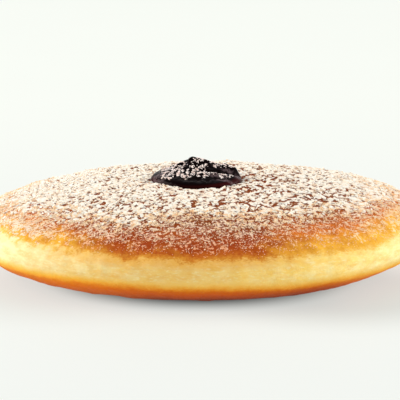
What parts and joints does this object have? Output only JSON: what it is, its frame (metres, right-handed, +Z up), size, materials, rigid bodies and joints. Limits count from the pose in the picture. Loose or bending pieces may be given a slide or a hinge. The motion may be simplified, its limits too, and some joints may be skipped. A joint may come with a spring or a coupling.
{
  "type": "jelly filled doughnut",
  "caption": "Broad, low round doughnut with a browned cap, a pale band round its side, icing sugar on top and a dollop of dark berry jelly in its middle.",
  "frame": {"origin": "on the surface the doughnut rests on, under the middle of its flat resting spot", "axes": "+Z up through the jelly; -Y is the front, where the lower fold of the jelly is; +X is to the right seen from the front"},
  "size_m": [0.1006, 0.0995, 0.0237],
  "materials": {
    "crust": "fried yeast dough: red-brown cap, pale cream band round the waist and golden-brown underside, soft sheen",
    "jelly": "wet dark berry jelly, almost black with a deep maroon edge",
    "sugar": "white icing sugar in clumps and fine grains, dull and slightly translucent; only the visual model has pieces of it"
  },
  "bodies": {
    "root": {"bun": "crust", "jelly": "jelly"}
  },
  "joints": []
}
